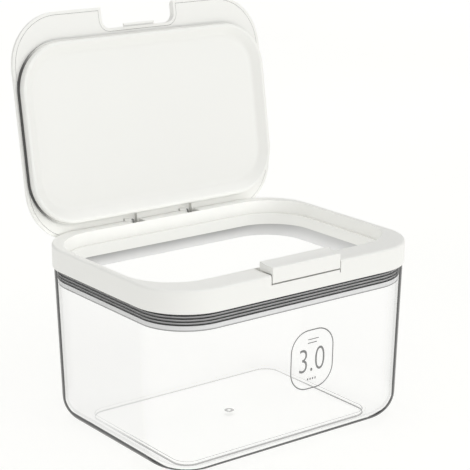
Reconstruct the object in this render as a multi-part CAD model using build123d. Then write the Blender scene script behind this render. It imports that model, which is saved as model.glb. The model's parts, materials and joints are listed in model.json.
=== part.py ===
from build123d import *
import math
import os

os.makedirs("parts", exist_ok=True)

# Washing powder dispenser: a clear box with a plug-in collar and a hinged lid.
# Millimetres, +X to the right, +Y to the back, +Z up, origin in the middle of the box's underside.
# The lid stands open, as the part rests.

# Plan of the collar, the widest piece
width = 200.0
depth = 157.5
corner_radius = 35.6

# Clear box
box_height = 105.5
box_setback = 1.0
box_wall = 2.0
box_base = 2.8
box_taper = 1.9
foot_radius = 17.0
foot_ring = 3.5
foot_recess = 0.9
gate_radius = 3.0

# Collar: bands around the mouth, measured on the top face
collar_height = 14.6
collar_edge = 1.5
side_band = 3.7
front_band = 18.4
back_band = 9.85
mouth_radius = 34.0
mouth_edge = 0.8
ledge_drop = 9.0
ledge_width = 1.7
lip_drop = 16.1
lip_wall = 2.0
roof = 2.2

# Collar skirt and its seal
skirt_depth = 8.8
skirt_wall = 1.2
bead_height = 2.5
bead_clearance = 0.3
seal_thickness = 1.1
seal_clearance = 0.08
seal_web = 0.5
seal_ribs = 4
rib_height = 1.0
seat_gap = 0.02

# Lid
lid_open_angle = 98.8
lid_gap = 1.6
lid_thickness = 4.5
lid_edge = 3.0
lid_side_setback = 1.6
lid_front_setback = 3.05
lid_back_setback = 5.25
lid_corner = 34.6
lid_wall = 2.0
lid_roof = 2.0
liner_clearance = 0.2

# Plug on the lid's inner side, dished in the middle
plug_height = 6.5
plug_clearance = 0.4
plug_front_inset = 19.1
plug_back_inset = 11.9
plug_radius = 31.0
plug_rim = 2.2
plug_edge = 0.9
dish_depth = 4.0
dish_run = 6.0
dish_fillet = 5.0
liner_skin = 2.0
plug_lip_width = 1.2
plug_lip_height = 0.4
lid_seal_height = 1.0
lid_seal_recess = 0.15

# Lid hinge
hinge_inset = 6.25
hinge_drop = 5.6
hinge_spacing = 45.0
hinge_slot = 10.0
hinge_clearance = 0.3
arm_width = 5.2
arm_offset = -1.8
arm_radius = 2.6
arm_root = 8.0
liner_slot = 11.0
liner_slot_depth = 10.5
hinge_pin_length = 18.0

# Pins and torsion springs
pin_radius = 1.25
pin_press = 0.01
pin_running = 0.05
wire = 0.7
hinge_turns = 4
hinge_spring_reach = 5.6
hinge_spring_offset = 2.6
latch_turns = 6
spring_clearance = 0.1

# Latch: rocker in the collar's front and the lid's notch, a cap over a narrower body
latch_width = 52.6
latch_depth = 12.9
latch_rise = 4.5
latch_back_rise = 5.9
latch_front_height = 9.6
latch_skin = 1.0
latch_end_recess = 2.0
latch_cap_gap = 0.3
latch_proud = 0.15
latch_side_gap = 0.8
latch_floor_gap = 1.0
latch_wall = 2.0
latch_roof = 2.4
latch_dish = 0.4
latch_dish_radius = 30.0
latch_edge = 0.8
latch_pivot_back = 5.4
latch_pivot_up = 2.2
pin_seat = 3.0
pocket_skin = 0.8
pocket_undercut = 1.2
relief_drop = 1.8
relief_depth = 3.0
notch_width = 57.4
notch_depth = 14.2
notch_radius = 6.0
catch_width = 24.0
catch_reach = 2.2
catch_height = 1.4
catch_groove = 0.8
catch_groove_depth = 0.7
hook_overlap = 0.6
hook_height = 1.2
hook_clearance = 0.2
nose_gap = 1.7

# Levels and places that follow from the sizes above
half_width = width / 2
half_depth = depth / 2
collar_top = box_height + collar_height
ledge_z = collar_top - ledge_drop
lip_bottom = collar_top - lip_drop
skirt_bottom = box_height - skirt_depth
hinge_y = half_depth - hinge_inset
hinge_z = collar_top - hinge_drop
hinge_axis = Axis((0, hinge_y, hinge_z), (1, 0, 0))
lid_z = collar_top + lid_gap
lid_half_width = half_width - lid_side_setback
lid_front = -half_depth + lid_front_setback
lid_back = half_depth - lid_back_setback
lid_top = lid_z + lid_thickness
liner_top = lid_top - lid_roof
plug_front = lid_front + plug_front_inset
plug_back = lid_back - plug_back_inset
plug_half_width = half_width - side_band - plug_clearance
mouth_front = -half_depth + front_band
mouth_back = half_depth - back_band
taper_slope = math.tan(math.radians(box_taper))
notch_floor = lid_front + notch_depth
catch_front = notch_floor - catch_reach
catch_z = lid_z - 0.2
latch_front = -half_depth - latch_proud
latch_back = latch_front + latch_depth
latch_top = collar_top + latch_rise
latch_back_top = collar_top + latch_back_rise
latch_bottom = latch_top - latch_front_height
latch_nose = catch_front + hook_overlap
hook_z = catch_z + catch_height + hook_clearance
latch_y = latch_front + latch_pivot_back
latch_z = latch_bottom + latch_pivot_up
pocket_half_width = latch_width / 2 + latch_side_gap
pocket_floor = latch_bottom - latch_floor_gap
pocket_back = latch_nose + nose_gap


def plan(half_x, front, back, radius):
    """Rounded rectangle, centred across the width, between two places along the depth."""
    return Pos(0, (front + back) / 2) * RectangleRounded(2 * half_x, back - front, radius)


def prism(sketch, low, high):
    return extrude(Pos(0, 0, low) * sketch, amount=high - low)


def block(x_low, x_high, y_low, y_high, z_low, z_high):
    middle = Pos((x_low + x_high) / 2, (y_low + y_high) / 2, (z_low + z_high) / 2)
    return middle * Box(x_high - x_low, y_high - y_low, z_high - z_low)


def rod(radius, x_low, x_high, y, z):
    """Cylinder along X."""
    return Pos((x_low + x_high) / 2, y, z) * Rot(0, 90, 0) * Cylinder(radius, x_high - x_low)


def box_outline(inset):
    edge = box_setback + inset
    return plan(half_width - edge, -half_depth + edge, half_depth - edge, corner_radius - edge)


def tapered_block(inset, floor, radius):
    """Solid that narrows from the rim down to the floor, rounded at the foot."""
    rim = Pos(0, 0, box_height) * box_outline(inset)
    body = extrude(rim, amount=box_height - floor, dir=(0, 0, -1), taper=box_taper)
    return fillet(body.edges().group_by(Axis.Z)[0], radius)


def make_clear_box():
    body = tapered_block(0, 0, foot_radius) - tapered_block(box_wall, box_base, foot_radius - box_wall)
    inset = foot_radius + taper_slope * box_height + foot_ring
    body -= prism(box_outline(inset), 0, foot_recess)
    gate = Pos(0, 0, foot_recess / 2) * Cylinder(gate_radius, foot_recess)
    return body + gate


def inside_box(z):
    """How far the box's inner face stands in from the collar's outer face at one level."""
    return box_setback + box_wall + taper_slope * (box_height - z)


skirt_inset = inside_box(skirt_bottom) + seal_thickness
bead_inset = inside_box(skirt_bottom) + bead_clearance


def collar_outline(inset):
    return plan(half_width - inset, -half_depth + inset, half_depth - inset, corner_radius - inset)


def mouth_outline(grow):
    return plan(half_width - side_band + grow, mouth_front - grow, mouth_back + grow, mouth_radius + grow)


hinge_places = (-hinge_spacing / 2, hinge_spacing / 2)


def underside_hollow():
    """Space between the mouth's lip and the skirt, kept out of the hinge blocks and under the latch."""
    ring = collar_outline(skirt_inset + skirt_wall) - mouth_outline(lip_wall - ledge_width)
    hollow = prism(ring, skirt_bottom, collar_top - roof)
    for x in hinge_places:
        reach = hinge_pin_length / 2 + lip_wall
        hollow -= block(x - reach, x + reach, 0, half_depth, lip_bottom, collar_top)
    reach = pocket_half_width + pin_seat + lip_wall
    hollow -= block(-reach, reach, -half_depth, 0, pocket_floor - roof, collar_top)
    return hollow


def lid_swing():
    """What stands outside the circle that the lid's rear edge clears as it swings back."""
    radius = hinge_drop + lid_gap - hinge_clearance
    corner = block(-half_width, half_width, hinge_y, half_depth + 1, hinge_z, collar_top + 1)
    return corner - rod(radius, -width, width, hinge_y, hinge_z)


def latch_pocket():
    """Seat of the latch in the front band, wider behind its skin, with a relief slot at the right end."""
    wide = pocket_half_width + pocket_undercut
    front = -half_depth - 1
    pocket = block(-pocket_half_width, pocket_half_width, front, pocket_back, pocket_floor, collar_top)
    pocket += block(-wide, wide, -half_depth + pocket_skin, pocket_back, pocket_floor, collar_top - roof)
    return pocket + block(latch_width / 2, pocket_half_width, front, -half_depth + relief_depth,
                          pocket_floor - relief_drop, collar_top)


def make_collar():
    ring = prism(collar_outline(0), box_height, collar_top)
    ring = fillet(ring.edges().group_by(Axis.Z)[-1], collar_edge)
    ring += prism(collar_outline(skirt_inset), skirt_bottom, box_height)
    ring += prism(collar_outline(bead_inset), skirt_bottom, skirt_bottom + bead_height)
    ring -= prism(mouth_outline(0), ledge_z, collar_top)
    ring -= prism(mouth_outline(-ledge_width), skirt_bottom, ledge_z)
    ring -= prism(collar_outline(skirt_inset + skirt_wall), skirt_bottom, lip_bottom)
    ring -= underside_hollow()
    ring -= lid_swing()
    slot_front = hinge_y - arm_radius - hinge_clearance
    slot_floor = hinge_z - arm_radius - hinge_clearance
    for x in hinge_places:
        ring -= block(x - hinge_slot / 2, x + hinge_slot / 2, slot_front, half_depth + 1, slot_floor, collar_top)
        ring -= rod(pin_radius + pin_press, x - hinge_pin_length / 2, x + hinge_pin_length / 2, hinge_y, hinge_z)
    ring -= latch_pocket()
    reach = pocket_half_width + pin_seat
    ring -= rod(pin_radius + pin_press, -reach, reach, latch_y, latch_z)
    return ring


def make_box_seal():
    low = skirt_bottom + bead_height
    high = box_height
    bore = prism(collar_outline(skirt_inset - seat_gap), low, high)
    ring = prism(collar_outline(skirt_inset - seat_gap - seal_web), low, high)
    tip = inside_box(low) + seal_clearance
    pitch = (high - low - rib_height) / (seal_ribs - 1)
    for i in range(seal_ribs):
        ring += prism(collar_outline(tip), low + i * pitch, low + i * pitch + rib_height)
    return ring - bore


def lid_outline(inset):
    outline = plan(lid_half_width - inset, lid_front + inset, lid_back - inset, lid_corner - inset)
    notch = RectangleRounded(notch_width + 2 * inset, 2 * (notch_depth + inset), notch_radius + inset)
    return outline - Pos(0, lid_front) * notch


def hinge_arm(x):
    """Arm from the lid's roof down to the pin, with a round eye."""
    root_front = lid_back - arm_root
    eye_front = hinge_y - arm_radius
    outline = Polygon(
        (root_front, liner_top + lid_roof / 2),
        (lid_back, liner_top + lid_roof / 2),
        (lid_back, lid_z),
        (hinge_y + arm_radius, hinge_z),
        (eye_front, hinge_z),
        (eye_front, collar_top + hinge_clearance),
        (root_front, lid_z + hinge_clearance),
        align=None,
    )
    profile = Plane.YZ * outline + Plane.YZ * Pos(hinge_y, hinge_z) * Circle(arm_radius)
    arm = Pos(x + arm_offset, 0, 0) * extrude(profile, amount=arm_width / 2, both=True)
    return arm - rod(pin_radius + pin_running, x - hinge_slot, x + hinge_slot, hinge_y, hinge_z)


def opened(shape):
    return shape.rotate(hinge_axis, -lid_open_angle)


def make_lid_cover():
    shell = prism(plan(lid_half_width, lid_front, lid_back, lid_corner), lid_z, lid_top)
    shell = fillet(shell.edges().group_by(Axis.Z)[-1], lid_edge)
    shell &= prism(lid_outline(0), lid_z, lid_top)
    shell -= prism(lid_outline(lid_wall), lid_z, liner_top)
    shell += block(-catch_width / 2, catch_width / 2, catch_front, notch_floor + lid_wall / 2,
                   catch_z, catch_z + catch_height)
    shell -= block(-catch_width / 2, catch_width / 2, notch_floor - catch_groove, notch_floor,
                   catch_z, catch_z + catch_groove_depth)
    for x in hinge_places:
        shell += hinge_arm(x)
    return opened(shell)


def plug_outline(inset):
    return plan(plug_half_width - inset, plug_front + inset, plug_back - inset, plug_radius - inset)


def make_lid_liner():
    low = lid_z - plug_height
    plug = prism(plug_outline(0), low, lid_z)
    dish_angle = math.degrees(math.atan2(dish_run, dish_depth))
    dish = extrude(Pos(0, 0, low) * plug_outline(plug_rim), amount=dish_depth, taper=dish_angle)
    dish = fillet(dish.edges().group_by(Axis.Z)[-1], dish_fillet)
    plug -= dish
    plug = fillet(plug.edges().group_by(Axis.Z)[0], plug_edge)
    lip_top = lid_z - lid_seal_height
    plug += prism(plug_outline(-plug_lip_width), lip_top - plug_lip_height, lip_top)
    liner = prism(lid_outline(lid_wall + liner_clearance), lid_z, liner_top) + plug
    inner = plug_outline(plug_rim + dish_run + liner_skin)
    liner -= prism(inner, low + dish_depth + liner_skin, liner_top)
    for x in hinge_places:
        liner -= block(x - liner_slot / 2, x + liner_slot / 2, lid_back - liner_slot_depth, lid_back,
                       lid_z - lid_gap, liner_top)
    return opened(liner)


def make_lid_seal():
    ring = plug_outline(lid_seal_recess - plug_lip_width) - plug_outline(-seat_gap)
    return opened(prism(ring, lid_z - lid_seal_height, lid_z))


def make_hinge_pin(x):
    return rod(pin_radius, x - hinge_pin_length / 2, x + hinge_pin_length / 2, hinge_y, hinge_z)


def coil(turns):
    """Close-wound turns around a pin along X."""
    bore = pin_radius + spring_clearance
    length = turns * wire
    points = [(-length / 2, bore)]
    for i in range(turns):
        start = -length / 2 + i * wire
        points += [(start, bore + wire * 0.6), (start + wire / 2, bore + wire)]
    points += [(length / 2, bore + wire * 0.6), (length / 2, bore)]
    return revolve(Plane.XZ * Polygon(*points, align=None), Axis.X)


def bent_wire(*points):
    """Round wire along the points, rounded where it bends."""
    path = FilletPolyline(*points, radius=wire) if len(points) > 2 else Line(*points)
    return sweep(Plane(origin=path @ 0, z_dir=path % 0) * Circle(wire / 2), path=path)


leg_radius = pin_radius + spring_clearance + 0.6 * wire


def make_hinge_spring(x):
    """Coil on the pin whose two ends rise as one loop and press on the lid's roof in the liner's slot."""
    reach = (hinge_turns - 1) * wire / 2
    rise = liner_top - wire / 2 - seat_gap - hinge_z
    loop = bent_wire(
        (-reach, -leg_radius, 0),
        (-reach, -leg_radius, rise),
        (-reach, -hinge_spring_reach, rise),
        (reach, -hinge_spring_reach, rise),
        (reach, -leg_radius, rise),
        (reach, -leg_radius, 0),
    )
    return opened(Pos(x + hinge_spring_offset, hinge_y, hinge_z) * (coil(hinge_turns) + loop))


def make_latch_button():
    outline = Polygon(
        (latch_front, latch_bottom),
        (latch_front, latch_top),
        (latch_back, latch_back_top),
        (latch_back, latch_bottom + latch_wall),
        (latch_back - latch_wall, latch_bottom),
        align=None,
    )
    body = extrude(Plane.YZ * outline, amount=latch_width / 2, both=True)
    body = fillet(body.edges().filter_by(Axis.X).sort_by(Axis.Z)[-2:], latch_edge)
    lean = math.atan2(latch_back_top - latch_top, latch_depth)
    rise = latch_dish_radius - latch_dish
    dish_y = (latch_front + latch_back) / 2 - rise * math.sin(lean)
    dish_z = (latch_top + latch_back_top) / 2 + rise * math.cos(lean)
    body -= rod(latch_dish_radius, -width, width, dish_y, dish_z)
    side = latch_width / 2 - latch_end_recess
    inner = side - latch_wall
    body -= block(-inner, inner, latch_front + latch_wall, latch_back - latch_wall,
                  latch_bottom, latch_top - latch_dish - latch_roof)
    for x in (side, -side - latch_end_recess):
        body -= block(x, x + latch_end_recess, latch_front + latch_skin, latch_back,
                      latch_bottom, collar_top + latch_cap_gap)
    body += block(-catch_width / 2, catch_width / 2, latch_back - latch_wall, latch_nose,
                  hook_z, hook_z + hook_height)
    return body - rod(pin_radius + pin_running, -width, width, latch_y, latch_z)


def make_latch_pin():
    reach = pocket_half_width + pin_seat
    return rod(pin_radius, -reach, reach, latch_y, latch_z)


def make_latch_spring():
    """Coil on the latch pin, with one end up under the button's roof and one back along the collar."""
    reach = (latch_turns - 1) * wire / 2
    rise = latch_top - latch_dish - latch_roof - wire - latch_z
    back = latch_back - latch_wall - wire - latch_y
    up = bent_wire((-reach, -leg_radius, 0), (-reach, -leg_radius, rise))
    rear = bent_wire((reach, 0, -leg_radius), (reach, back, -leg_radius))
    return Pos(0, latch_y, latch_z) * (coil(latch_turns) + up + rear)


pieces = {
    "clear_box": make_clear_box(),
    "collar": make_collar(),
    "box_seal": make_box_seal(),
    "lid_cover": make_lid_cover(),
    "lid_liner": make_lid_liner(),
    "lid_seal": make_lid_seal(),
    "latch_button": make_latch_button(),
    "latch_pin": make_latch_pin(),
    "latch_spring": make_latch_spring(),
}
for side, x in zip(("left", "right"), hinge_places):
    pieces["hinge_pin_" + side] = make_hinge_pin(x)
    pieces["hinge_spring_" + side] = make_hinge_spring(x)

for name, shape in pieces.items():
    export_step(shape, "parts/" + name + ".step")
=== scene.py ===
# %% [markdown]
# # A box for washing powder
# The real thing is a clear moulded box. A white collar plugs its mouth, with a ribbed grey seal between
# the two, and a white lid stands open on a hinge at the back. The solids come from CAD with their true
# sizes, so this lesson only dresses them: it adds the camera, the light, the finishes and the print.

# %% Load the solids
import json
import math
import bmesh
import bpy
from mathutils import Matrix, Vector


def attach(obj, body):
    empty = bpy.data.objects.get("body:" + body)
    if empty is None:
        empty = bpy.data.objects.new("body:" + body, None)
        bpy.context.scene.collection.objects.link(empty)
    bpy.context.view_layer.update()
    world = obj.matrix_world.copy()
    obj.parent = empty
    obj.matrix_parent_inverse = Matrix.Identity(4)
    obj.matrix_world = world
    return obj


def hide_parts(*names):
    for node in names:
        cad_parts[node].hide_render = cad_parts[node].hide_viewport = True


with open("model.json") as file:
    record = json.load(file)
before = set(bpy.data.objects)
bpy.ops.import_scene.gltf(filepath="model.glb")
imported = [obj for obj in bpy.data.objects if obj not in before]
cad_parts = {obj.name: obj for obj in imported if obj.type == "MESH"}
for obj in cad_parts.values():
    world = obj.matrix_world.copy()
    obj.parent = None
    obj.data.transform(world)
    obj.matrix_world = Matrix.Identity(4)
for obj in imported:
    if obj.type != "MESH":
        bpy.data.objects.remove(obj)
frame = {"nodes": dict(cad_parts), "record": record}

scene = bpy.context.scene
nodes = frame["nodes"]
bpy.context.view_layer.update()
print("solids:", ", ".join(sorted(nodes)))

# %% [markdown]
# ## Camera
# A product picture is taken with a long lens from a little above the table. The place, the turn and the
# lens below were solved from the straight edges of the box, so the picture's outlines fall on the model's.
# A camera in Blender looks along its own -Z axis, and to_track_quat turns that axis along the line of sight.

# %% Place the camera
PICTURE = 470
FOCAL_PIXELS = 1605.0
TURN = math.radians(36.91)
TILT = math.radians(15.74)

lens = bpy.data.cameras.new("camera")
lens.sensor_width = 36.0
lens.lens = FOCAL_PIXELS / PICTURE * lens.sensor_width
lens.clip_start = 0.01
camera = bpy.data.objects.new("camera", lens)
scene.collection.objects.link(camera)
sight = Vector((math.sin(TURN) * math.cos(TILT), math.cos(TURN) * math.cos(TILT), -math.sin(TILT)))
camera.location = (-0.59081, -0.79306, 0.40156)
camera.rotation_euler = sight.to_track_quat("-Z", "Y").to_euler()
scene.camera = camera
print("lens", round(lens.lens, 1), "mm")

# %% [markdown]
# ## Light
# The picture is a high-key one: the floor is nearly white, and the white mouldings show only soft greys.
# A bright, even sky gives the base level. Three suns with wide angles then make one side brighter than the
# other, because a plain white shape with no direction in its light looks flat. The wider a sun's angle, the
# softer its shadow. The Standard view transform keeps white as white, where a film-like one would grey it.

# %% Sky and lamps
scene.view_settings.view_transform = "Standard"
scene.view_settings.look = "None"

sky = bpy.data.worlds.new("studio")
scene.world = sky
sky.use_nodes = True
sky.node_tree.nodes["Background"].inputs["Color"].default_value = (1.0, 1.0, 1.0, 1.0)
sky.node_tree.nodes["Background"].inputs["Strength"].default_value = 0.43


def soft_sun(name, towards, spread, strength):
    data = bpy.data.lights.new(name, "SUN")
    data.angle = math.radians(spread)
    data.energy = strength
    lamp = bpy.data.objects.new(name, data)
    lamp.rotation_euler = Vector(towards).to_track_quat("-Z", "Y").to_euler()
    scene.collection.objects.link(lamp)
    return lamp


soft_sun("front", (-0.4, 0.9, -0.24), 44, 0.66)
soft_sun("left", (1.0, 0.1, -0.25), 40, 0.08)
soft_sun("overhead", (0.05, 0.1, -1.0), 80, 0.98)

# %% [markdown]
# The plug of the open lid keeps the sky off the narrow flange above the hinge. A long soft box behind a grid
# throws a thin beam, so it can reach that flange without lighting the rest.

# %% Strip light for the hinge
STRIP_AIM = Vector((0.0, 0.075, 0.121))
STRIP_AWAY = 0.6

grid = bpy.data.lights.new("hinge_strip", "AREA")
grid.shape = "RECTANGLE"
grid.size, grid.size_y = 0.24, 0.01
grid.spread = math.radians(2.5)
grid.energy = 0.0022
strip = bpy.data.objects.new("hinge_strip", grid)
beam = Vector((0.0, 0.97, -0.2)).normalized()
strip.rotation_euler = beam.to_track_quat("-Z", "Y").to_euler()
strip.location = STRIP_AIM - STRIP_AWAY * beam
strip.visible_camera = False
scene.collection.objects.link(strip)

# %% [markdown]
# ## Floor
# The floor is a plain pale sheet, much larger than the view, so that no edge of it shows.

# %% Floor
sheet = bmesh.new()
bmesh.ops.create_grid(sheet, x_segments=1, y_segments=1, size=6.0)
floor_mesh = bpy.data.meshes.new("floor")
sheet.to_mesh(floor_mesh)
sheet.free()
floor_mesh.transform(Matrix.Translation((0, 0, -0.0002)))
floor = bpy.data.objects.new("floor", floor_mesh)
scene.collection.objects.link(floor)

# %% [markdown]
# ## Finishes
# A finish is a small network of shader nodes. Two helpers keep the networks short. Field wraps one socket
# and turns Python sums into Math nodes, so a pattern reads like a formula. Finish holds one material, and
# its node method adds any other kind of node, with its settings first and its sockets after.


# %% Helpers for shader networks
class Field:
    """One shader value that can be used in Python sums."""

    def __init__(self, finish, socket):
        self.finish = finish
        self.socket = socket

    def sum_of(self, operation, first, second):
        return self.finish.node("ShaderNodeMath", {"operation": operation}, {0: first, 1: second})

    def __add__(self, other):
        return self.sum_of("ADD", self, other)

    __radd__ = __add__

    def __sub__(self, other):
        return self.sum_of("SUBTRACT", self, other)

    def __rsub__(self, other):
        return self.sum_of("SUBTRACT", other, self)

    def __mul__(self, other):
        return self.sum_of("MULTIPLY", self, other)

    __rmul__ = __mul__

    def __pow__(self, other):
        return self.sum_of("POWER", self, other)

    def __abs__(self):
        return self.sum_of("ABSOLUTE", self, 0.0)

    def at_least(self, other):
        return self.sum_of("MAXIMUM", self, other)

    def at_most(self, other):
        return self.sum_of("MINIMUM", self, other)


class Finish:
    """One material and the nodes in it."""

    def __init__(self, name):
        self.material = bpy.data.materials.new(name)
        self.material.use_nodes = True
        self.tree = self.material.node_tree
        self.tree.nodes.clear()

    def node(self, kind, settings=None, sockets=None, output=0):
        made = self.tree.nodes.new(kind)
        for key, value in (settings or {}).items():
            setattr(made, key, value)
        for key, value in (sockets or {}).items():
            if isinstance(value, Field):
                self.tree.links.new(value.socket, made.inputs[key])
            else:
                made.inputs[key].default_value = value
        return Field(self, made.outputs[output]) if made.outputs else None

    def place(self):
        return self.node("ShaderNodeTexCoord", output="Object")

    def along(self, axis):
        return self.node("ShaderNodeSeparateXYZ", {}, {"Vector": self.place()}, output=axis)

    def noise(self, scale, detail=2.0, where=None):
        where = where or self.place()
        return self.node("ShaderNodeTexNoise", {}, {"Vector": where, "Scale": scale, "Detail": detail})

    def step(self, value, low, high):
        settings = {"interpolation_type": "SMOOTHSTEP"}
        return self.node("ShaderNodeMapRange", settings, {"Value": value, "From Min": low, "From Max": high})

    def blend(self, share, first, second):
        settings = {"data_type": "RGBA"}
        return self.node("ShaderNodeMix", settings, {"Factor": share, 6: first, 7: second}, output=2)

    def bump(self, height, strength, distance):
        return self.node("ShaderNodeBump", {}, {"Height": height, "Strength": strength, "Distance": distance})

    def surface(self, sockets):
        shader = self.node("ShaderNodeBsdfPrincipled", {}, sockets)
        self.node("ShaderNodeOutputMaterial", {}, {"Surface": shader})
        return self.material


def grey(level, warmth=0.0):
    return (level, level, level * (1.0 - warmth), 1.0)


def past_corner(first, second, radius):
    """Distance outside a rounded corner, from the distances past the two lines through its centre."""
    away = (first.at_least(0.0) ** 2.0 + second.at_least(0.0) ** 2.0) ** 0.5
    return away + first.at_least(second).at_most(0.0) - radius


# %% [markdown]
# ## Floor finish
# A painted studio floor is almost even. A slow, faint change of tone keeps it from being one flat colour.

# %% Floor finish
paint = Finish("floor_paint")
tone = paint.blend(paint.noise(1.2), grey(0.3, 0.02), grey(0.32, 0.02))
floor_mesh.materials.append(paint.surface({
    "Base Color": tone,
    "Roughness": 0.8,
    "Emission Color": tone,
    "Emission Strength": 2.38,
}))
print("floor finish:", floor_mesh.materials[0].name)

# %% [markdown]
# ## White moulding
# Collar, lid and latch are injection moulded in white plastic with a satin surface. The mould leaves a very
# fine grain, far below a millimetre, and the gloss drifts a little from place to place. Both come from noise
# textures on Object coordinates, so the grain keeps its real size on every piece. Some shade is painted into
# the tone and differs with the place, so each painted shade is a small function that takes a tone and gives it
# back with a darker part in it. The first of them paints shade into each crease: Ambient Occlusion is low
# where another surface is close by.

# %% White moulding and the painted shade in each crease
MM = 0.001
WARMTH = 0.035
CREASE = 1.6 * MM
GRAIN_DEPTH = 0.05 * MM


def white_plastic(name, steps):
    """A satin white whose tone goes through the given steps."""
    moulding = Finish(name)
    drift = moulding.noise(14.0)
    grain = moulding.noise(2200.0, detail=1.0)
    tone = moulding.blend(drift, grey(0.945, WARMTH), grey(0.965, WARMTH))
    for darken in steps:
        tone = darken(moulding, tone)
    return moulding.surface({
        "Base Color": tone,
        "Roughness": 0.36 + 0.08 * drift,
        "Normal": moulding.bump(grain, 0.08, GRAIN_DEPTH),
    })


def painted_crease_shade(moulding, tone):
    # Painted shade: the tone turns grey where Ambient Occlusion finds another surface close by.
    reach = {"Distance": CREASE}
    open_air = moulding.node("ShaderNodeAmbientOcclusion", {"samples": 16}, reach, output="AO")
    return moulding.blend(moulding.step(open_air, 0.05, 0.6), grey(0.3), tone)


# %% [markdown]
# The collar's skirt reaches down inside the clear wall. There it is painted dimmer, a painted shade for the
# wall in front of it, and a painted dark line marks its foot. Its inner side takes painted shade from the lip
# above, deepest just below that lip and less so near the two ends. The distance from the collar's rounded
# outline tells the outer side from the inner one.

# %% Painted shade on the skirt
RIM = 105.5 * MM
SKIRT_STRETCH = 1.32
SKIRT_LOW = RIM - SKIRT_STRETCH * 8.8 * MM
SKIRT_TOP = 105.3 * MM
LIP_LOW = RIM - SKIRT_STRETCH * 1.5 * MM
RING_CORNER = 35.6 * MM
RING_STRAIGHT = (100.0 * MM - RING_CORNER, 78.75 * MM - RING_CORNER)


def outer_side(moulding):
    x, y = abs(moulding.along("X")), abs(moulding.along("Y"))
    from_ring = past_corner(x - RING_STRAIGHT[0], y - RING_STRAIGHT[1], RING_CORNER)
    return moulding.step(from_ring, -5.2 * MM, -4.7 * MM)


def painted_shade_behind_wall(moulding, tone):
    # Painted shade: the outer side of the skirt below the rim is dimmed, and a darker painted line runs along
    # its foot.
    z = moulding.along("Z")
    below_rim = 1.0 - moulding.step(z, SKIRT_TOP - 0.6 * MM, SKIRT_TOP)
    painted_foot_line = 1.0 - moulding.step(z, SKIRT_LOW + 0.5 * MM, SKIRT_LOW + 1.0 * MM)
    painted_dim = moulding.blend(painted_foot_line, grey(0.84), grey(0.36))
    return moulding.blend(outer_side(moulding) * below_rim, tone, painted_dim)


def painted_shade_under_lip(moulding, tone):
    # Painted shade: the inner side below the lip turns grey, darkest just under the lip and lighter near the
    # two ends.
    z = moulding.along("Z")
    below_lip = 1.0 - moulding.step(z, LIP_LOW - 0.1 * MM, LIP_LOW + 0.1 * MM)
    ends = moulding.step(abs(moulding.along("X")), 55.0 * MM, 85.0 * MM)
    deepest = moulding.blend(ends, grey(0.4), grey(0.62))
    shade = moulding.blend(moulding.step(z, SKIRT_LOW, LIP_LOW), grey(0.9), deepest)
    return moulding.blend((1.0 - outer_side(moulding)) * below_lip, tone, shade)


white_moulding = white_plastic("white_moulding", [painted_crease_shade, painted_shade_behind_wall, painted_shade_under_lip])
print("finish:", white_moulding.name)

# %% [markdown]
# A thin dark seal lies around the foot of the lid's plug, and painted shade darkens the plug there too, most
# of all at its two flanks. The lid stands open, so the height of that painted line is measured square to the
# lid: a turn by the lid's angle about the hinge gives it.

# %% Painted shade at the foot of the lid's plug
HINGE_Y, HINGE_Z = 72.5 * MM, 114.5 * MM
OPEN_ANGLE = math.radians(98.8)
FLANGE = 7.2 * MM


def painted_plug_foot_shade(moulding, tone):
    # Painted shade: a near-black band on the plug just above its foot, faint along its ends and strong at the
    # two flanks.
    from_hinge = moulding.along("Y") - HINGE_Y, moulding.along("Z") - HINGE_Z
    drop = FLANGE - (from_hinge[0] * math.sin(OPEN_ANGLE) + from_hinge[1] * math.cos(OPEN_ANGLE))
    band = moulding.step(drop, 0.05 * MM, 0.1 * MM) * (1.0 - moulding.step(drop, 1.4 * MM, 1.6 * MM))
    flanks = moulding.step(abs(moulding.along("X")), 76.0 * MM, 94.0 * MM)
    return moulding.blend(band * (0.12 + 0.83 * flanks), tone, grey(0.04))


liner_moulding = white_plastic("liner_moulding", [painted_crease_shade, painted_plug_foot_shade])
print("finish:", liner_moulding.name)

# %% [markdown]
# ## Clear moulding
# The box is clear and thin, so light passes straight through its faces. Only near its outline does the path
# through the plastic grow long, and there a thin dark line is painted on the wall by the angle of view, a
# painted shade for the wall seen edge on. The line belongs to the outer skin, so the skin is told from the
# inner face by its distance from the moulding's outline. That outline is a rounded rectangle that narrows
# downwards and rounds off into the foot.
# The recess in the base is a rounded rectangle too, so one rule for a rounded corner works out all three
# distances.

# %% Distances on the clear box
CORNER = 34.6 * MM
STRAIGHT = (99.0 * MM - CORNER, 77.75 * MM - CORNER)
FOOT = 17.0 * MM
LEAN = math.radians(1.9)
RECESS = 10.7 * MM
RECESS_STRAIGHT = (75.1 * MM - RECESS, 53.9 * MM - RECESS)

clear = Finish("clear_moulding")
x, y, z = abs(clear.along("X")), abs(clear.along("Y")), clear.along("Z")
narrowing = math.tan(LEAN) * (RIM - z)
from_wall = past_corner(x - STRAIGHT[0], y - STRAIGHT[1], CORNER - narrowing)
from_skin = past_corner(from_wall + FOOT, FOOT - z, FOOT)
outer_skin = clear.step(from_skin, -1.3 * MM, -0.7 * MM)
from_step = past_corner(x - RECESS_STRAIGHT[0], y - RECESS_STRAIGHT[1], RECESS)
from_gate = (x ** 2.0 + y ** 2.0) ** 0.5

# %% [markdown]
# Layer Weight gives the turn away from the eye: zero on a face seen square on, one where it is seen edge on.
# A flat wall seen at a slant would turn dark all over, so the line is kept to the curved parts, which are the
# upright corners and the foot. It suits views from about the height of the box. From high above, every
# upright face is far from square on, and the corners show wide and dark.

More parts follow.
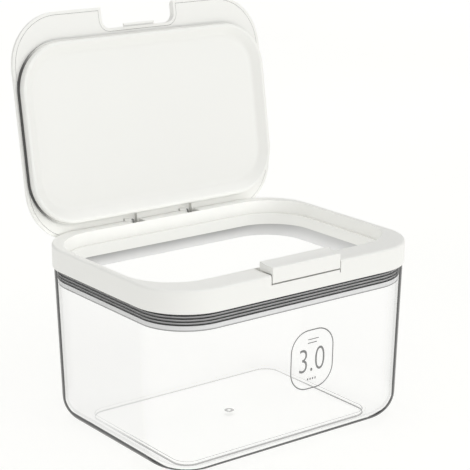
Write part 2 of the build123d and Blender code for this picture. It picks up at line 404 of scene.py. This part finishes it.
# %% Painted dark outline of the clear box
# Painted shade: the outline darkens the wall by the angle of view, and the shoulder adds a faint painted shade
# to upright faces seen at a slant.
away = clear.node("ShaderNodeLayerWeight", {}, {"Blend": 0.5}, output="Facing")
corner = clear.step((x - STRAIGHT[0]).at_most(y - STRAIGHT[1]), 0.0, 3.0 * MM)
foot = 1.0 - clear.step(z, FOOT - 3.0 * MM, FOOT)
off_the_base = clear.step(from_wall, -FOOT, -FOOT + 2.0 * MM)
line = clear.step(away, 0.663, 0.711) * (1.0 - 0.35 * clear.step(away, 0.865, 0.981))
edge = line * off_the_base * corner.at_least(foot) * (0.05 + 0.93 * outer_skin)
painted_shoulder_shade = 0.08 * clear.step(away, 0.28, 0.69) * outer_skin * clear.step(z, 4.0 * MM, FOOT)

# %% [markdown]
# The cut rim under the collar, the step around the recess in the base and the gate mark in its middle trap
# some light as well, and each is painted as a dark line. Each is a narrow band of one of those distances. The
# two lines of the recess are painted fainter towards the back of the box.

# %% Painted dark lines where the clear box traps light
GATE_RING = 2.2 * MM
RECESS_EDGE = 2.2 * MM

# Painted shade: dark lines at the rim, the recess step and the gate ring, with the recess lines painted
# fainter towards the back.
in_base = 1.0 - clear.step(z, 3.0 * MM, 4.0 * MM)
inner_floor = clear.step(z, 2.0 * MM, 2.4 * MM)
rim = clear.step(z, RIM - 0.7 * MM, RIM - 0.4 * MM)
fade = 1.0 - 0.75 * clear.step(clear.along("Y"), -20.0 * MM, 40.0 * MM)
step_line = (1.0 - clear.step(abs(from_step), 0.12 * MM, 0.42 * MM)) * in_base * fade
outer_line = (1.0 - clear.step(abs(from_step - RECESS_EDGE), 0.1 * MM, 0.45 * MM)) * in_base * fade
gate = (1.0 - clear.step(abs(from_gate - GATE_RING), 0.5 * MM, 1.5 * MM)) * in_base * inner_floor
recess = (0.5 * step_line).at_least(0.07 * outer_line)
painted_trap_lines = (0.9 * rim).at_least(recess).at_least(0.45 * gate)

# %% Clear moulding
ripple = clear.noise(60.0)
clear_moulding = clear.surface({
    "Base Color": clear.blend(ripple, grey(0.012), grey(0.022)),
    "Roughness": 0.04 + 0.04 * ripple,
    "IOR": 1.5,
    "Specular IOR Level": 0.06,
    "Alpha": (0.003 * ripple + painted_shoulder_shade).at_least(edge).at_least(painted_trap_lines),
})
print("finish:", clear_moulding.name)

# %% [markdown]
# ## Seal rubber
# The seals are grey silicone. The ribs of the large one press on the clear wall, and where rubber wets a wall
# there is no air between them to reflect light, so the ribs read as dark lines and the grooves as paler ones.
# The paler tone of the grooves is a painted reflection. The tone therefore follows the height within each rib,
# folded back and forth with a ping-pong.

# %% Seal rubber
SEAL_TOP = 104.2 * MM
SEAL_STRETCH = 1.08
SEAL_LOW = SEAL_TOP - SEAL_STRETCH * 6.3 * MM
SEAL_RIBS = 4
RIB_HEIGHT = SEAL_STRETCH * 1.0 * MM

rubber = Finish("seal_rubber")
dust = rubber.noise(220.0, detail=4.0)
pitch = (SEAL_TOP - SEAL_LOW - RIB_HEIGHT) / (SEAL_RIBS - 1)
rise = rubber.along("Z") - (SEAL_LOW + RIB_HEIGHT / 2)
within = rubber.node("ShaderNodeMath", {"operation": "PINGPONG"}, {0: rise, 1: pitch / 2})
wetted = 1.0 - rubber.step(within, RIB_HEIGHT * 0.3, RIB_HEIGHT * 0.6)
# Painted reflection: the grooves take a pale grey, while the wetted ribs keep the dark rubber tone.
painted_groove_reflection = rubber.blend(dust, grey(0.58), grey(0.68))
pressed = rubber.blend(dust, grey(0.012), grey(0.022))
seal_rubber = rubber.surface({
    "Base Color": rubber.blend(wetted, painted_groove_reflection, pressed),
    "Roughness": 0.5 + 0.15 * dust,
    "Normal": rubber.bump(dust, 0.15, 0.0001),
})
print("finish:", seal_rubber.name)

# %% [markdown]
# The thin seal at the foot of the lid's plug is the same silicone with no ribs.

# %% Plain seal
plain = Finish("plain_seal")
bloom = plain.noise(220.0, detail=4.0)
plain_seal = plain.surface({
    "Base Color": plain.blend(bloom, grey(0.03), grey(0.055)),
    "Roughness": 0.5 + 0.15 * bloom,
    "Normal": plain.bump(bloom, 0.15, 0.0001),
})
print("finish:", plain_seal.name)

# %% [markdown]
# ## Spring steel
# Pins and springs are drawn wire, so fine lines run along them. Stretching a noise along X gives those lines.

# %% Spring steel
wire = Finish("spring_steel")
stretched = wire.node("ShaderNodeMapping", {}, {"Vector": wire.place(), "Scale": (40.0, 2400.0, 2400.0)})
lines = wire.noise(1.0, where=stretched)
spring_steel = wire.surface({
    "Base Color": wire.blend(lines, grey(0.35), grey(0.6)),
    "Metallic": 1.0,
    "Roughness": 0.25 + 0.2 * lines,
})
print("finish:", spring_steel.name)

# %% [markdown]
# ## Dress the solids
# The shapes from CAD are right, so each one only takes its finish.

# %% Dress the solids
finishes = {
    "clear_plastic": clear_moulding,
    "white_plastic": white_moulding,
    "grey_rubber": seal_rubber,
    "steel": spring_steel,
}
special = {"lid_seal": plain_seal, "lid_liner": liner_moulding}
for entry in frame["record"]["subparts"]:
    piece = nodes[entry["node"]]
    piece.data.materials.clear()
    piece.data.materials.append(special.get(piece.name, finishes[entry["material_slot"]]))
print("dressed", len(nodes), "solids")

# %% [markdown]
# ## Deeper skirt, lower seal
# Measured in the picture, the collar's skirt reaches a little deeper into the box than the solid's, and the
# seal sits lower on it. A solid keeps its shape, so a copy of each stands in for it. Only what is below the
# box's rim moves, and it moves in proportion. A solid's faces come apart at its sharp edges, so those edges
# are marked sharp and then merged. The copy also drops the solid's stored normals, which no longer fit it.

# %% Deeper skirt and lower seal
TOUCH = 0.001 * MM


def stand_in(node, name, top, stretch):
    """Shows a copy of a solid whose part below the rim starts at the given height and is stretched down."""
    shape = bmesh.new()
    shape.from_mesh(nodes[node].data)
    for edge in shape.edges:
        edge.smooth = edge.smooth and not edge.is_boundary
    bmesh.ops.remove_doubles(shape, verts=shape.verts, dist=TOUCH)
    to_rim = Matrix.Translation((0, 0, -RIM))
    lower = Matrix.Translation((0, 0, top)) @ Matrix.Diagonal((1, 1, stretch, 1)) @ to_rim
    below = [point for point in shape.verts if point.co.z <= RIM + TOUCH]
    bmesh.ops.transform(shape, matrix=lower, verts=below)
    mesh = bpy.data.meshes.new(name)
    shape.to_mesh(mesh)
    shape.free()
    mesh.attributes.remove(mesh.attributes["custom_normal"])
    mesh.materials.append(nodes[node].data.materials[0])
    piece = bpy.data.objects.new(name, mesh)
    scene.collection.objects.link(piece)
    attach(piece, "container")
    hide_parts(node)
    print(name, "down to", round(min(v.co.z for v in mesh.vertices) / MM, 1), "mm")


stand_in("collar", "deep_collar", RIM, SKIRT_STRETCH)
stand_in("box_seal", "low_seal", SEAL_TOP, SEAL_STRETCH)

# %% [markdown]
# ## Print on the front
# The front carries a thin printed outline with the capacity in it. A print has almost no thickness, so it is
# made flat on the drawing plane and then laid on the wall, which leans a little because the box narrows
# towards its foot. A square whose corners are bevelled gives the outline, and an inset leaves its line.

# %% Lay a flat drawing on the front wall
WALL_AT_RIM = -77.75 * MM
PRINT_MIDDLE = (7.0 * MM, 59.5 * MM)
FILM = 0.03 * MM

ink = Finish("grey_ink")
speckle = ink.noise(900.0)
grey_ink = ink.surface({
    "Base Color": ink.blend(speckle, grey(0.2), grey(0.26)),
    "Roughness": 0.55 + 0.1 * speckle,
})


def lay_on_front(drawing, name):
    """Turns a drawing in XY up against the front wall and makes it a piece of the box."""
    x, z = PRINT_MIDDLE
    y = WALL_AT_RIM + math.tan(LEAN) * (RIM - z) - FILM
    turn = Matrix.Rotation(math.radians(90) + LEAN, 4, "X")
    bmesh.ops.transform(drawing, matrix=Matrix.Translation((x, y, z)) @ turn, verts=drawing.verts)
    mesh = bpy.data.meshes.new(name)
    drawing.to_mesh(mesh)
    drawing.free()
    mesh.materials.append(grey_ink)
    piece = bpy.data.objects.new(name, mesh)
    scene.collection.objects.link(piece)
    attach(piece, "container")
    print(name, len(mesh.polygons), "faces")
    return piece


# %% Outline of the print
PRINT_WIDE = 34.0 * MM
PRINT_TALL = 39.4 * MM
PRINT_CORNER = 13.5 * MM
PRINT_LINE = 0.8 * MM

outline = bmesh.new()
bmesh.ops.create_grid(outline, x_segments=1, y_segments=1, size=0.5)
bmesh.ops.scale(outline, vec=(PRINT_WIDE, PRINT_TALL, 1), verts=outline.verts)
bmesh.ops.bevel(outline, geom=outline.verts[:], offset=PRINT_CORNER, offset_type="OFFSET", segments=14,
                profile=0.5, affect="VERTICES", material=-1)
middle = outline.faces[:]
bmesh.ops.inset_region(outline, faces=middle, thickness=PRINT_LINE, use_boundary=True, use_even_offset=True)
bmesh.ops.delete(outline, geom=middle, context="FACES")
lay_on_front(outline, "print_outline")

# %% [markdown]
# The figure starts as a text curve, because Blender fills its outlines by itself. Its offset makes the strokes
# a little thinner, and the mesh made from it is then scaled to the size of the print.

# %% Capacity figure
FIGURE_HEIGHT = 15.4 * MM
FIGURE_WIDTH = 20.0 * MM
FIGURE_DROP = 0.3 * MM

letters = bpy.data.curves.new("figure", "FONT")
letters.body = "3.0"
letters.resolution_u = 6
letters.offset = -0.012
writer = bpy.data.objects.new("figure", letters)
flat = bpy.data.meshes.new_from_object(writer)
bpy.data.objects.remove(writer)
figure = bmesh.new()
figure.from_mesh(flat)
bpy.data.meshes.remove(flat)
low = Vector((min(v.co.x for v in figure.verts), min(v.co.y for v in figure.verts), 0))
high = Vector((max(v.co.x for v in figure.verts), max(v.co.y for v in figure.verts), 0))
bmesh.ops.translate(figure, vec=-(low + high) / 2, verts=figure.verts)
span = high - low
bmesh.ops.scale(figure, vec=(FIGURE_WIDTH / span.x, FIGURE_HEIGHT / span.y, 1), verts=figure.verts)
bmesh.ops.translate(figure, vec=(0, -FIGURE_DROP, 0), verts=figure.verts)
lay_on_front(figure, "print_figure")

# %% [markdown]
# Two long bars above the figure and four short ones below it stand for the smallest lines of the print. Each
# is a unit square, scaled and moved as it is made.

# %% Bars of the print
long_bars = [(0.6, 13.2, 8.4, 0.6), (-0.2, 10.9, 7.2, 0.6)]
short_bars = [(across, -13.0, 1.0, 1.4) for across in (-3.0, -1.0, 1.0, 3.0)]

bars = bmesh.new()
for across, up, wide, tall in long_bars + short_bars:
    place = Matrix.Translation((across * MM, up * MM, 0)) @ Matrix.Diagonal((wide * MM, tall * MM, 1, 1))
    bmesh.ops.create_grid(bars, x_segments=1, y_segments=1, size=0.5, matrix=place)
lay_on_front(bars, "print_bars")
